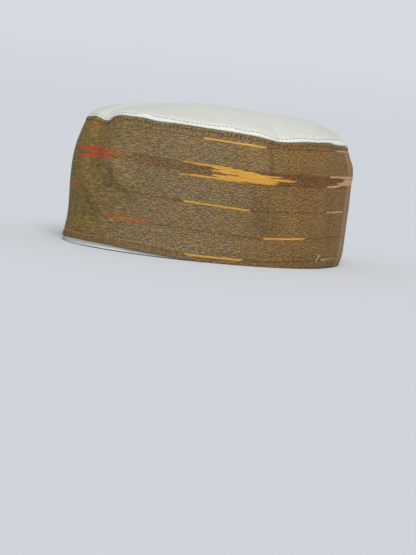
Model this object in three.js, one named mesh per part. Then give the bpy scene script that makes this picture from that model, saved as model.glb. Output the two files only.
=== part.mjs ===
// A soft oval ikat cap: an upright cloth band, a gently domed white crown sewn into its top edge,
// and a white lining whose hem peeks out under the band over the forehead.
// Millimetres, +Z up. The rim rests on z = 0, the forehead faces -Y and the wearer's left is +X.
// An azimuth is 0 at the forehead, 90 at the wearer's left and 180 at the back, in degrees.
import * as THREE from "three";

// Driving sizes
const HEAD_GIRTH = 570;
const LENGTH_TO_WIDTH = 1.14;
const BAND_HEIGHT = 83.3;
const CROWN_RISE = 16.2;
const BAND_CLOTH = 1.4;
const CROWN_CLOTH = 1.2;
const LINING_CLOTH = 1.0;
const GAP = 0.3;

// The oval, from the head's girth
const INNER_HALF_WIDTH = HEAD_GIRTH / Math.PI / (1 + LENGTH_TO_WIDTH);
const WALL = BAND_CLOTH + GAP + LINING_CLOTH;
const HALF_WIDTH = INNER_HALF_WIDTH + WALL;
const HALF_LENGTH = INNER_HALF_WIDTH * LENGTH_TO_WIDTH + WALL;

// The band is taller at the forehead than at the back
const FRONT_TALLER = 1.6;

// How far the band's rim and the lining's hem lie above the surface that the cap rests on: the rim lifts over
// the forehead, where the lining shows under it, and a little at the seam behind the wearer's left ear
const RIM_RISE = [
  { azimuth: -180, band: 0.0, lining: 0.8 },
  { azimuth: -62, band: 0.0, lining: 0.8 },
  { azimuth: -46, band: 0.6, lining: 0.5 },
  { azimuth: -32, band: 1.8, lining: 0.1 },
  { azimuth: -20, band: 2.7, lining: 0.0 },
  { azimuth: -10, band: 3.4, lining: 0.3 },
  { azimuth: 0, band: 3.75, lining: 1.0 },
  { azimuth: 10, band: 3.7, lining: 1.4 },
  { azimuth: 20, band: 3.4, lining: 1.5 },
  { azimuth: 30, band: 2.4, lining: 1.35 },
  { azimuth: 40, band: 1.5, lining: 1.1 },
  { azimuth: 50, band: 0.6, lining: 0.9 },
  { azimuth: 62, band: 0.0, lining: 0.8 },
  { azimuth: 104, band: 0.0, lining: 0.8 },
  { azimuth: 118, band: 0.6, lining: 1.2 },
  { azimuth: 130, band: 0.9, lining: 1.5 },
  { azimuth: 145, band: 0.5, lining: 1.2 },
  { azimuth: 160, band: 0.0, lining: 0.8 },
  { azimuth: 180, band: 0.0, lining: 0.8 },
];

// How far the wall stands out from the oval, at a share of its height, at the forehead and at the back
const WALL_PROFILE = [
  { share: 0.0, front: 0.0, back: 0.0 },
  { share: 0.09, front: -1.2, back: 1.5 },
  { share: 0.2, front: -2.2, back: 2.0 },
  { share: 0.38, front: -2.1, back: 2.4 },
  { share: 0.53, front: -1.8, back: 2.6 },
  { share: 0.65, front: -2.1, back: 2.6 },
  { share: 0.785, front: -4.0, back: 3.0 },
  { share: 0.85, front: -5.4, back: 2.0 },
  { share: 0.91, front: -6.9, back: -0.3 },
  { share: 0.96, front: -8.4, back: -1.7 },
  { share: 1.0, front: -9.3, back: -3.1 },
];

// Where the top edge rises or dips: the notch over the forehead, the kink at the left, the step before the
// seam, and softer waves
const EDGE_RISE = [
  { azimuth: -180, rise: -1.0 },
  { azimuth: -176, rise: -1.3 },
  { azimuth: -168, rise: -0.4 },
  { azimuth: -150, rise: 0.0 },
  { azimuth: -122, rise: -0.8 },
  { azimuth: -104, rise: -0.5 },
  { azimuth: -94, rise: -1.8 },
  { azimuth: -84, rise: -0.3 },
  { azimuth: -60, rise: 0.0 },
  { azimuth: -36, rise: -1.2 },
  { azimuth: -24, rise: -1.2 },
  { azimuth: -14, rise: -0.9 },
  { azimuth: -8.5, rise: -0.5 },
  { azimuth: -4.5, rise: -1.3 },
  { azimuth: -1.5, rise: -2.5 },
  { azimuth: 2.3, rise: -2.9 },
  { azimuth: 5.5, rise: -1.8 },
  { azimuth: 8.5, rise: 0.2 },
  { azimuth: 11.5, rise: 1.45 },
  { azimuth: 20, rise: 1.85 },
  { azimuth: 27, rise: 1.7 },
  { azimuth: 34, rise: 0.65 },
  { azimuth: 44, rise: 0.65 },
  { azimuth: 58, rise: -0.1 },
  { azimuth: 70, rise: -0.75 },
  { azimuth: 80, rise: -1.8 },
  { azimuth: 87, rise: -2.95 },
  { azimuth: 91, rise: -2.7 },
  { azimuth: 97, rise: -1.6 },
  { azimuth: 102, rise: -0.8 },
  { azimuth: 108, rise: -0.3 },
  { azimuth: 114, rise: 0.5 },
  { azimuth: 117, rise: 0.55 },
  { azimuth: 120, rise: 0.0 },
  { azimuth: 126, rise: -0.2 },
  { azimuth: 140, rise: 0.2 },
  { azimuth: 155, rise: 0.0 },
  { azimuth: 172, rise: -0.2 },
  { azimuth: 180, rise: -1.0 },
];

// Soft dents (depth below 0) and swells in the wall: azimuth and half width round the cap, share of height
// and reach up and down it
const FOLDS = [
  { azimuth: 0, halfWidth: 7, share: 1.0, reach: 0.14, depth: -2.2 },
  { azimuth: 3, halfWidth: 7, share: 0.8, reach: 0.18, depth: -1 },
  { azimuth: -14, halfWidth: 9, share: 0.86, reach: 0.12, depth: 0.8 },
  { azimuth: 11, halfWidth: 9, share: 0.58, reach: 0.12, depth: -1.1 },
  { azimuth: 20, halfWidth: 10, share: 0.44, reach: 0.13, depth: -1.2 },
  { azimuth: 4, halfWidth: 10, share: 0.2, reach: 0.16, depth: -0.7 },
  { azimuth: 78, halfWidth: 11, share: 0.8, reach: 0.18, depth: 0.9 },
  { azimuth: 89, halfWidth: 7, share: 0.95, reach: 0.16, depth: -1.7 },
  { azimuth: 91, halfWidth: 9, share: 0.45, reach: 0.16, depth: -0.9 },
  { azimuth: 132, halfWidth: 2.4, share: 0.5, reach: 0.8, depth: 0.6 },
  { azimuth: 133, halfWidth: 12, share: 0.0, reach: 0.09, depth: -1.6 },
  { azimuth: 168, halfWidth: 14, share: 0.55, reach: 0.2, depth: -0.9 },
  { azimuth: -148, halfWidth: 13, share: 0.35, reach: 0.2, depth: -1.0 },
  { azimuth: -112, halfWidth: 12, share: 0.5, reach: 0.2, depth: 0.8 },
  { azimuth: -94, halfWidth: 8, share: 0.95, reach: 0.16, depth: -1.2 },
  { azimuth: -62, halfWidth: 12, share: 0.6, reach: 0.18, depth: -1.0 },
];

// The crown: rings as shares of the way from its middle to its edge, the dome, and the seam allowance
// that turns down behind the band, as shares of the band's height
const CROWN_RINGS = [0, 0.24, 0.44, 0.62, 0.77, 0.88, 0.95, 0.988, 1];
const DOME_FULLNESS = 3.73;
const DOME_SHOULDER = 0.7;
const FULLER_BACK = 6;
const WAVE_FADE = 6;
const CROWN_STEP_IN = 0.2;
const EDGE_ROLL = 0.6;
const SEAM_ALLOWANCE = [1.0, 0.96, 0.91];

// A wide swell and a hollow across the dome, out from its middle towards the back at the wearer's left
const SWELL_AZIMUTH = 145;
const SWELL_REACH = 20;
const SWELL_LENGTH = 60;
const SWELL_FADE = 4;
const SWELLS = [
  { out: -10, rise: 1.3 },
  { out: 40, rise: -1.9 },
];

// The shares of height between which the lining steps in to pass behind the crown's seam allowance
const STEP_FROM = 0.785;
const STEP_TO = 0.85;
const LINING_TOP = 0.985;

// Rounded cloth edges
const EDGE_ROUND = 0.35;
const EDGE_SHARE = 0.994;

const SEGMENTS = 84;

// The cloths' colours and how matt they are
const GOLDEN_OLIVE = 0x77653f;
const OFF_WHITE = 0xe4e6dc;
const IKAT_ROUGHNESS = 0.9;
const COTTON_ROUGHNESS = 0.8;

const radians = THREE.MathUtils.degToRad;
const bell = (distance, reach) => Math.exp(-((distance / reach) ** 2));

// The turn from one azimuth to another, from -180 to 180 degrees
function turn(from, to) {
  return THREE.MathUtils.euclideanModulo(to - from + 180, 360) - 180;
}

// A table's value in one column, between the rows on either side of a place in another column
function between(table, key, at, column) {
  const last = table.length - 1;
  const above = Math.min(last, Math.max(1, table.findIndex((row) => row[key] >= at)));
  const [low, high] = [table[above - 1], table[above]];
  return THREE.MathUtils.lerp(low[column], high[column], (at - low[key]) / (high[key] - low[key]));
}

// How far the wall stands out from the oval at an azimuth and a share of its height
function wallOffset(azimuth, share) {
  const towardsBack = (1 - Math.cos(radians(azimuth))) / 2;
  const front = between(WALL_PROFILE, "share", share, "front");
  const back = between(WALL_PROFILE, "share", share, "back");
  let offset = THREE.MathUtils.lerp(front, back, towardsBack);
  for (const fold of FOLDS) {
    const across = bell(turn(fold.azimuth, azimuth), fold.halfWidth);
    offset += fold.depth * across * bell(share - fold.share, fold.reach);
  }
  return offset;
}

const edgeWave = (azimuth) => between(EDGE_RISE, "azimuth", turn(0, azimuth), "rise");
const rimRise = (azimuth) => between(RIM_RISE, "azimuth", turn(0, azimuth), "band");
const hemRise = (azimuth) => between(RIM_RISE, "azimuth", turn(0, azimuth), "lining");
const frontTaller = (azimuth) => FRONT_TALLER * Math.cos(radians(azimuth));
const edgeHeight = (azimuth) => BAND_HEIGHT + frontTaller(azimuth) + edgeWave(azimuth);

// A point that stands out from the oval by an offset, square to the oval
function outFromOval(azimuth, offset) {
  const angle = radians(azimuth);
  const onOval = new THREE.Vector2(HALF_WIDTH * Math.sin(angle), -HALF_LENGTH * Math.cos(angle));
  const outwards = new THREE.Vector2(Math.sin(angle) / HALF_WIDTH, -Math.cos(angle) / HALF_LENGTH);
  return onOval.addScaledVector(outwards.normalize(), offset);
}

// A closed cloth shell from a section of places, each of which gives a point for an azimuth. The section goes
// up the outside and down the inside, and it meets itself or ends on the axis. The lathe makes the net of
// faces, and each of its points is then moved to its place.
function shell(name, section, colour, roughness) {
  const profile = section.map((place) => {
    const at = place(0);
    return new THREE.Vector2(Math.hypot(at.x, at.y), at.z);
  });
  const geometry = new THREE.LatheGeometry(profile, SEGMENTS);
  const positions = geometry.getAttribute("position");
  for (let column = 0; column <= SEGMENTS; column++) {
    const azimuth = (360 * (column % SEGMENTS)) / SEGMENTS;
    section.forEach((place, row) => {
      const at = place(azimuth);
      positions.setXYZ(column * section.length + row, at.x, at.y, at.z);
    });
  }
  geometry.computeVertexNormals();
  const material = new THREE.MeshStandardMaterial({ color: colour, roughness, metalness: 0 });
  const mesh = new THREE.Mesh(geometry, material);
  mesh.name = name;
  return mesh;
}

// A place in a wall's section: a share of its height, a depth behind the band's outer face and a raise
function inWall(share, depth, raise = () => 0) {
  return (azimuth) => {
    const plan = outFromOval(azimuth, wallOffset(azimuth, share) - depth);
    return new THREE.Vector3(plan.x, plan.y, share * edgeHeight(azimuth) + raise(azimuth));
  };
}

const wallRows = WALL_PROFILE.map((row) => row.share).slice(1, -1);

function band() {
  const outside = wallRows.map((share) => inWall(share, 0));
  const inside = wallRows.map((share) => inWall(share, BAND_CLOTH)).reverse();
  const roundedRim = (azimuth) => rimRise(azimuth) + EDGE_ROUND;
  const start = inWall(0, 0, roundedRim);
  const section = [
    start,
    ...outside,
    inWall(EDGE_SHARE, 0),
    inWall(1, EDGE_ROUND),
    inWall(1, BAND_CLOTH - EDGE_ROUND),
    inWall(EDGE_SHARE, BAND_CLOTH),
    ...inside,
    inWall(0, BAND_CLOTH, roundedRim),
    inWall(0, BAND_CLOTH - EDGE_ROUND, rimRise),
    inWall(0, EDGE_ROUND, rimRise),
    start,
  ];
  return shell("band", section, GOLDEN_OLIVE, IKAT_ROUGHNESS);
}

function lining() {
  const stepIn = CROWN_CLOTH + GAP;
  const behindBand = (share) =>
    BAND_CLOTH + GAP + stepIn * THREE.MathUtils.clamp((share - STEP_FROM) / (STEP_TO - STEP_FROM), 0, 1);
  const rows = [...wallRows, LINING_TOP];
  const outside = rows.map((share) => inWall(share, behindBand(share)));
  const inside = rows.map((share) => inWall(share, behindBand(share) + LINING_CLOTH)).reverse();
  const hem = [inWall(0, behindBand(0), hemRise), inWall(0, behindBand(0) + LINING_CLOTH, hemRise)];
  return shell("lining", [hem[0], ...outside, ...inside, hem[1], hem[0]], OFF_WHITE, COTTON_ROUGHNESS);
}

// How far the dome rises or sinks for its swell and hollow, which fade out at its edge
function domeSwell(plan, share) {
  const turned = plan.clone().rotateAround(new THREE.Vector2(), radians(90 - SWELL_AZIMUTH));
  const rise = SWELLS.reduce((sum, swell) => sum + swell.rise * bell(turned.x - swell.out, SWELL_REACH), 0);
  return rise * bell(turned.y, SWELL_LENGTH) * (1 - share ** SWELL_FADE);
}

// A place on the crown's dome: a share of the way from its middle to its edge, the depth of that edge behind
// the band's face, the dome's rise over the edge and a raise
function onDome(share, depth, rise, raise) {
  const bulge = (1 - share ** DOME_FULLNESS) ** DOME_SHOULDER;
  return (azimuth) => {
    const plan = outFromOval(azimuth, wallOffset(azimuth, 1) - depth).multiplyScalar(share);
    const towardsBack = -Math.cos(radians(azimuth));
    const fuller = FULLER_BACK * towardsBack * share * (1 - share ** 2);
    const edge = frontTaller(azimuth) * share + edgeWave(azimuth) * share ** WAVE_FADE;
    const height = BAND_HEIGHT + edge + rise * bulge + fuller + domeSwell(plan, share) + raise;
    return new THREE.Vector3(plan.x, plan.y, height);
  };
}

function crown() {
  const behindBand = BAND_CLOTH + GAP;
  const backOfCloth = behindBand + CROWN_CLOTH;
  const outside = CROWN_RINGS.map((share) => onDome(share, CROWN_STEP_IN, CROWN_RISE, EDGE_ROLL));
  const inside = CROWN_RINGS.map((share) => onDome(share, backOfCloth, CROWN_RISE - CROWN_CLOTH, 0));
  const section = [
    ...inside.slice(0, -1),
    ...SEAM_ALLOWANCE.map((share) => inWall(share, backOfCloth)),
    ...SEAM_ALLOWANCE.map((share) => inWall(share, behindBand)).reverse(),
    inWall(1, behindBand, () => GAP),
    inWall(1, CROWN_STEP_IN + EDGE_ROUND, () => GAP),
    ...outside.reverse(),
  ];
  return shell("crown", section, OFF_WHITE, COTTON_ROUGHNESS);
}

const cap = new THREE.Group();
cap.add(band(), crown(), lining());

// The origin is the middle of the footprint
const footprint = new THREE.Box3().setFromObject(cap, true).getCenter(new THREE.Vector3());
cap.children.forEach((piece) => piece.position.set(-footprint.x, -footprint.y, 0));

export default cap;
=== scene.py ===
"""The ikat cap on a pale floor: a woven band, a white crown sewn into its top edge and a white lining.

The tables and the shape functions are in millimetres and degrees, and every mesh is in metres.
An azimuth is 0 at the forehead (-Y), 90 at the wearer's left (+X) and 180 at the back.
An arc is a length round the rim from the forehead. A share is a part of the band's height.
"""
import math
from collections import namedtuple

import bmesh
import bpy
import numpy as np
from mathutils import Matrix, Vector


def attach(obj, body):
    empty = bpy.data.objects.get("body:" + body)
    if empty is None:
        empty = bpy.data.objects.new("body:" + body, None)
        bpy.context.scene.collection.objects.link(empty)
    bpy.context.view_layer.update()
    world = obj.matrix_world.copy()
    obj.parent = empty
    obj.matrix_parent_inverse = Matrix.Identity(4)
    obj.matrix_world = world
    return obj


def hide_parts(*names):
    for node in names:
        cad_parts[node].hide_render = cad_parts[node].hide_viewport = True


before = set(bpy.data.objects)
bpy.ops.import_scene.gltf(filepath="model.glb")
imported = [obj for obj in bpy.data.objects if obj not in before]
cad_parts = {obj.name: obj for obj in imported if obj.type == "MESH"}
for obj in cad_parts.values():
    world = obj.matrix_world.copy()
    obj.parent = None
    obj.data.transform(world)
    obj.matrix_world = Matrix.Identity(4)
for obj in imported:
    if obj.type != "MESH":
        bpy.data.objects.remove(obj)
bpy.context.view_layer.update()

MM = 0.001

# The driving sizes, as in the part's source
HEAD_GIRTH = 570
LENGTH_TO_WIDTH = 1.14
BAND_HEIGHT = 83.3
CROWN_RISE = 16.2
BAND_CLOTH = 1.4
CROWN_CLOTH = 1.2
LINING_CLOTH = 1.0
GAP = 0.3

INNER_HALF_WIDTH = HEAD_GIRTH / math.pi / (1 + LENGTH_TO_WIDTH)
WALL = BAND_CLOTH + GAP + LINING_CLOTH
HALF_WIDTH = INNER_HALF_WIDTH + WALL
HALF_LENGTH = INNER_HALF_WIDTH * LENGTH_TO_WIDTH + WALL

# Where the oval's middle lies in the frame, whose origin is the middle of the footprint
OVAL_MIDDLE = (0.136, -1.509, 0)

# The band is taller at the forehead than at the back
FRONT_TALLER = 1.6

# How far the band's rim and the lining's hem lie above the floor: azimuth, band, lining
RIM_RISE = [
    (-180, 0.0, 0.8),
    (-62, 0.0, 0.8),
    (-46, 0.6, 0.5),
    (-32, 1.8, 0.1),
    (-20, 2.7, 0.0),
    (-10, 3.4, 0.3),
    (0, 3.75, 1.0),
    (10, 3.7, 1.4),
    (20, 3.4, 1.5),
    (30, 2.4, 1.35),
    (40, 1.5, 1.1),
    (50, 0.6, 0.9),
    (62, 0.0, 0.8),
    (104, 0.0, 0.8),
    (118, 0.6, 1.2),
    (130, 0.9, 1.5),
    (145, 0.5, 1.2),
    (160, 0.0, 0.8),
    (180, 0.0, 0.8),
]

# The share of the height over which that rise fades out, above the rim
LIFT_REACH = 0.09

# How far the wall stands out from the oval: share of height, at the forehead, at the back
WALL_PROFILE = [
    (0.0, 0.0, 0.0),
    (0.09, -1.2, 1.5),
    (0.2, -2.2, 2.0),
    (0.38, -2.1, 2.4),
    (0.53, -1.8, 2.6),
    (0.65, -2.1, 2.6),
    (0.785, -4.0, 3.0),
    (0.85, -5.4, 2.0),
    (0.91, -6.9, -0.3),
    (0.96, -8.4, -1.7),
    (1.0, -9.3, -3.1),
]

# Where the top edge rises or dips: azimuth, rise
EDGE_RISE = [
    (-180, -1.0),
    (-176, -1.3),
    (-168, -0.4),
    (-150, 0.0),
    (-122, -0.8),
    (-104, -0.5),
    (-94, -1.8),
    (-84, -0.3),
    (-60, 0.0),
    (-36, -1.2),
    (-24, -1.2),
    (-14, -0.9),
    (-8.5, -0.5),
    (-4.5, -1.3),
    (-1.5, -2.5),
    (2.3, -2.5),
    (5.5, -1.9),
    (8.5, 0.2),
    (11.5, 1.45),
    (20, 1.85),
    (27, 1.7),
    (34, 0.65),
    (44, 0.65),
    (58, -0.1),
    (70, -0.75),
    (80, -1.8),
    (87, -2.95),
    (91, -2.7),
    (97, -1.6),
    (102, -0.8),
    (108, -0.3),
    (114, 0.5),
    (117, 0.55),
    (120, 0.0),
    (126, -0.2),
    (140, 0.2),
    (155, 0.0),
    (172, -0.2),
    (180, -1.0),
]

# How far the woven rows dip below level, round the band: arc from the forehead, dip
ROW_DIP = [
    (-400, 0.0),
    (-180, 0.8),
    (-60, 1.0),
    (-45, 1.0),
    (-30, 0.3),
    (-3, -0.8),
    (15, -0.8),
    (30, -0.2),
    (55, 1.1),
    (75, 1.9),
    (87, 2.4),
    (100, 2.9),
    (120, 3.7),
    (130, 3.9),
    (145, 3.3),
    (160, 2.5),
    (186, 1.3),
    (205, 0.4),
    (240, 0.0),
]

# How much more they dip at the notch and at the hem on the wearer's left, and how far the flame lifts them
NOTCH_DIP = 2.6
HEM_DIP = 1.2
FLAME_LIFT = 1.2

# Dents and swells of the wall: azimuth, half width, share, reach, lean, depth.
# A fold with a lean runs aslant: its middle moves that many degrees of azimuth for a whole height.
FOLDS = [
    (0, 6, 1.0, 0.13, 0, -2.3),
    (3, 5, 0.83, 0.14, 0, -1.5),
    (-13, 8, 0.86, 0.12, 0, 1.0),
    (9, 6, 0.6, 0.06, -60, -1.3),
    (19, 6, 0.45, 0.06, -60, -1.3),
    (28, 8, 0.3, 0.09, -40, -0.5),
    (3, 9, 0.2, 0.13, 0, -0.9),
    (78, 10, 0.83, 0.15, 0, 0.8),
    (88, 4.5, 0.95, 0.14, 0, -1.7),
    (90, 9, 0.45, 0.16, 0, -0.9),
    (118, 8, 0.25, 0.2, 0, -0.6),
    (133, 12, 0.0, 0.09, 0, -1.6),
    (168, 14, 0.55, 0.2, 20, -0.9),
    (-148, 13, 0.35, 0.2, -20, -1.0),
    (-112, 12, 0.5, 0.2, 0, 0.8),
    (-94, 6, 0.95, 0.16, 0, -1.3),
    (-62, 12, 0.6, 0.18, 30, -1.0),
]

# Smaller creases and swells of the woven layer: from arc, height to arc, height, reach, depth
CREASES = [
    (-9, 82, -6, 75, 5.0, 1.0),
    (16, 74, 16, 72, 4.0, -0.6),
    (12, 67, 8, 62, 3.5, -0.6),
    (27, 72, 21, 61, 5.0, -0.4),
    (7, 60, 9, 57, 5.5, -0.8),
    (9, 49, 22, 46.5, 3.4, -0.9),
    (18, 40.5, 34, 35.5, 3.4, -0.95),
    (36, 35, 42, 32, 3.0, -0.6),
    (12, 55, 24, 42, 4.5, -0.4),
    (23, 60, 38, 47, 6.0, 0.9),
    (-4, 45, 6, 40, 6.0, 0.6),
    (-3, 33, 11, 20, 6.5, -0.7),
    (8, 25, 12, 22, 3.5, -0.5),
    (-6, 15, 18, 12, 4.0, 0.5),
    (-10, 9, 24, 6, 3.5, -0.5),
    (46, 75, 48, 69, 3.5, -0.4),
    (54, 73, 59, 50, 2.2, -0.3),
    (88, 44, 93, 16, 2.2, -0.3),
    (108, 76, 110, 57, 2.2, -0.3),
    (119, 76, 125, 62, 8.0, 0.8),
    (136, 83, 134.5, 60, 2.0, -0.9),
    (127, 41, 131, 26, 7.0, -0.8),
    (142, 34, 140, 20, 4.0, -0.5),
    (152, 45, 154, 20, 6.0, 0.4),
    (176, 70, 180, 30, 5.0, 0.5),
    (193, 44, 195, 16, 4.0, -0.6),
    (-120, 30, -98, 22, 6.0, -0.7),
    (-150, 72, -146, 50, 5.0, -0.7),
    (-190, 40, -170, 28, 6.0, -0.7),
    (-232, 70, -226, 48, 6.0, -0.6),
    (-262, 35, -246, 26, 6.0, -0.6),
]

# The crown's dome
DOME_FULLNESS = 3.73
DOME_SHOULDER = 0.7
FULLER_BACK = 6.0
WAVE_FADE = 6
CROWN_STEP_IN = 0.2
CROWN_LIFT = 0.35

# A wide swell and a hollow across the dome: how far from the middle, towards the azimuth of 145, and rise
SWELL_AZIMUTH = 145
SWELL_REACH = 20
SWELL_LENGTH = 60
SWELLS = [
    (-10, 1.3),
    (40, -1.9),
]

# Sewing
SEAM_AZIMUTH = 130
TOP_STITCH_DOWN = 2.6
LINING_STITCH_UP = 6.0
STITCH_PITCH = 3.1

# The hem's thread shows pale round to this arc, and from there to the seam it lies in the cloth
PALE_HEM_END = 95

# The share of its lift that the lining's hem keeps as its cloth hangs down to the floor
HEM_HANG = 0.4

# How far above the rim the band's hem stitching runs: arc from the forehead, height
HEM_STITCH_UP = [
    (-330, 6.8),
    (-60, 7.2),
    (30, 7.8),
    (50, 8.0),
    (61, 7.5),
    (70, 6.9),
    (78, 6.3),
    (90, 6.1),
    (105, 6.0),
    (125, 6.6),
    (145, 7.2),
    (162, 7.2),
    (183, 6.9),
    (245, 6.8),
]

# How far in from the edge the crown's edge stitching runs: arc from the forehead, distance
EDGE_STITCH_IN = [
    (-330, 1.6),
    (-60, 1.4),
    (-30, 0.9),
    (-10, 0.8),
    (15, 0.8),
    (24, 1.2),
    (33, 1.4),
    (43, 2.9),
    (49, 2.1),
    (55, 2.2),
    (68, 1.3),
    (86, 1.3),
    (98, 1.8),
    (105, 2.3),
    (111, 1.5),
    (125, 1.8),
    (137, 1.0),
    (147, 1.0),
    (159, 1.7),
    (169, 1.3),
    (183, 1.0),
    (211, 2.6),
    (225, 2.0),
    (245, 1.6),
]

# Columns of the nets, round the cap
COLUMNS = 960

# Shape functions


def bell(distance, reach):
    return np.exp(-((distance / reach) ** 2))


def turn(start, end):
    """The turn from one azimuth to another, from -180 to 180 degrees."""
    return (end - start + 180) % 360 - 180


def smoothstep(at, low, high):
    x = np.clip((at - low) / (high - low), 0, 1)
    return x * x * (3 - 2 * x)


def curve_through(table, column, at):
    """A smooth curve through a table's column, over its first column."""
    places = np.array([row[0] for row in table])
    values = np.array([row[column] for row in table])
    slopes = np.gradient(values, places)
    k = np.clip(np.searchsorted(places, at) - 1, 0, len(places) - 2)
    span = places[k + 1] - places[k]
    t = (at - places[k]) / span
    return (
        values[k] * (1 + 2 * t) * (1 - t) ** 2
        + slopes[k] * span * t * (1 - t) ** 2
        + values[k + 1] * t * t * (3 - 2 * t)
        + slopes[k + 1] * span * t * t * (t - 1)
    )


def wall_offset(azimuth, share):
    towards_back = (1 - np.cos(np.radians(azimuth))) / 2
    front = curve_through(WALL_PROFILE, 1, share)
    back = curve_through(WALL_PROFILE, 2, share)
    offset = front + (back - front) * towards_back
    for middle, half_width, height, reach, lean, depth in FOLDS:
        across = turn(middle + lean * (share - height), azimuth)
        offset = offset + depth * bell(across, half_width) * bell(share - height, reach)
    return offset


def edge_wave(azimuth):
    return curve_through(EDGE_RISE, 1, turn(0, azimuth))


def front_taller(azimuth):
    return FRONT_TALLER * np.cos(np.radians(azimuth))


def edge_height(azimuth):
    return BAND_HEIGHT + front_taller(azimuth) + edge_wave(azimuth)


def rim_rise(azimuth):
    return np.maximum(curve_through(RIM_RISE, 1, turn(0, azimuth)), 0)


def hem_rise(azimuth):
    return np.maximum(curve_through(RIM_RISE, 2, turn(0, azimuth)), 0)


def out_from_oval(azimuth, offset):
    """Plan points that stand out from the oval by an offset, square to it."""
    angle = np.radians(azimuth)
    across, along = np.sin(angle) / HALF_WIDTH, -np.cos(angle) / HALF_LENGTH
    length = np.hypot(across, along)
    x = HALF_WIDTH * np.sin(angle) + offset * across / length
    y = -HALF_LENGTH * np.cos(angle) + offset * along / length
    return x, y


def in_wall(azimuth, share, depth, raised=0.0):
    """Points in the wall, a depth behind the band's outer face. raised fades out above the rim."""
    x, y = out_from_oval(azimuth, wall_offset(azimuth, share) - depth)
    z = share * edge_height(azimuth) + raised * np.clip(1 - share / LIFT_REACH, 0, 1)
    return np.stack(np.broadcast_arrays(x, y, z), -1)


def dome_swell(x, y, share):
    """How far the dome rises or sinks for its wide swells, which fade out at its edge."""
    angle = math.radians(SWELL_AZIMUTH)
    along = x * math.sin(angle) - y * math.cos(angle)
    across = x * math.cos(angle) + y * math.sin(angle)
    rise = sum(height * bell(along - out, SWELL_REACH) for out, height in SWELLS)
    return rise * bell(across, SWELL_LENGTH) * (1 - share**4)


def on_dome(azimuth, share, depth, rise, raised):
    """Points on the crown, a share of the way from its middle to its edge."""
    x, y = out_from_oval(azimuth, wall_offset(azimuth, np.ones_like(azimuth)) - depth)
    x, y = x * share, y * share
    bulge = np.clip(1 - share**DOME_FULLNESS, 0, 1) ** DOME_SHOULDER
    fuller = -FULLER_BACK * np.cos(np.radians(azimuth)) * share * (1 - share**2)
    edge = front_taller(azimuth) * share + edge_wave(azimuth) * share**WAVE_FADE
    z = BAND_HEIGHT + edge + rise * bulge + fuller + raised + dome_swell(x, y, share)
    return np.stack(np.broadcast_arrays(x, y, z), -1)


def ripple(around, up, seed, waves_round, up_length, count=9):
    """A soft unevenness from -1 to 1 that closes on itself round the cap. around is in turns, up in mm."""
    draw = np.random.default_rng(seed)
    total = 0
    for _ in range(count):
        waves = draw.integers(waves_round[0], waves_round[1] + 1)
        rate = 2 * math.pi * draw.uniform(-1, 1) / up_length
        total = total + np.sin(2 * math.pi * waves * around + rate * up + draw.uniform(0, 2 * math.pi))
    return total / math.sqrt(count) / 2


def creases(arc, height):
    """How far the woven layer stands out for its creases and swells."""
    total = 0 * arc * height
    for from_arc, from_height, to_arc, to_height, reach, depth in CREASES:
        run = np.array([to_arc - from_arc, to_height - from_height])
        apart = from_forehead(arc - from_arc)
        share = np.clip((apart * run[0] + (height - from_height) * run[1]) / (run @ run), 0, 1)
        away = np.hypot(apart - share * run[0], height - from_height - share * run[1])
        total = total + depth * bell(away, reach)
    return total


# Fine steps round the oval, and how far each lies from the forehead along the rim
FINE_PLACES = 7201
fine_azimuths = np.linspace(-180, 180, FINE_PLACES)
fine_x, fine_y = out_from_oval(fine_azimuths, 0)
fine_arcs = np.concatenate([[0], np.cumsum(np.hypot(np.diff(fine_x), np.diff(fine_y)))])
fine_arcs -= np.interp(0, fine_azimuths, fine_arcs)
GIRTH = fine_arcs[-1] - fine_arcs[0]
STITCHES_ROUND = round(GIRTH / STITCH_PITCH)


def from_forehead(arc):
    """An arc as the shorter way round the cap, from -GIRTH / 2 to GIRTH / 2."""
    return (arc + GIRTH / 2) % GIRTH - GIRTH / 2


def hem_stitch_up(arc):
    return curve_through(HEM_STITCH_UP, 1, from_forehead(arc))


def crown_stitch_in(arc):
    return curve_through(EDGE_STITCH_IN, 1, from_forehead(arc))


# The nets' columns, in even steps round the cap from the seam on: arcs, azimuths and parts of a turn
SEAM_ARC = float(np.interp(SEAM_AZIMUTH, fine_azimuths, fine_arcs))
arcs = SEAM_ARC - GIRTH + np.arange(COLUMNS) * GIRTH / COLUMNS
azimuths = np.interp((arcs - fine_arcs[0]) % GIRTH + fine_arcs[0], fine_arcs, fine_azimuths)
rounds = np.arange(COLUMNS) / COLUMNS

# One wave to each stitch, for the puckers
stitch_waves = np.cos(2 * math.pi * (rounds * STITCHES_ROUND))

# The cloth map's columns, where the first comes again at the end
map_arcs = np.append(arcs, arcs[0] + GIRTH)
map_azimuths = np.append(azimuths, azimuths[0])


def place(points):
    """Millimetres from the oval's middle to metres from the frame's origin."""
    return (points + np.array(OVAL_MIDDLE)) * MM


# Mesh building


def grid_normals(points, closed):
    """Outward normals of a net of points: rows run along the section, columns round the cap."""
    around = np.roll(points, -1, 1) - np.roll(points, 1, 1)
    if closed:
        along = np.roll(points, -1, 0) - np.roll(points, 1, 0)
    else:
        along = np.gradient(points, axis=0)
    normals = np.cross(around, along)
    return normals / np.maximum(np.linalg.norm(normals, axis=-1, keepdims=True), 1e-9)


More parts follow.
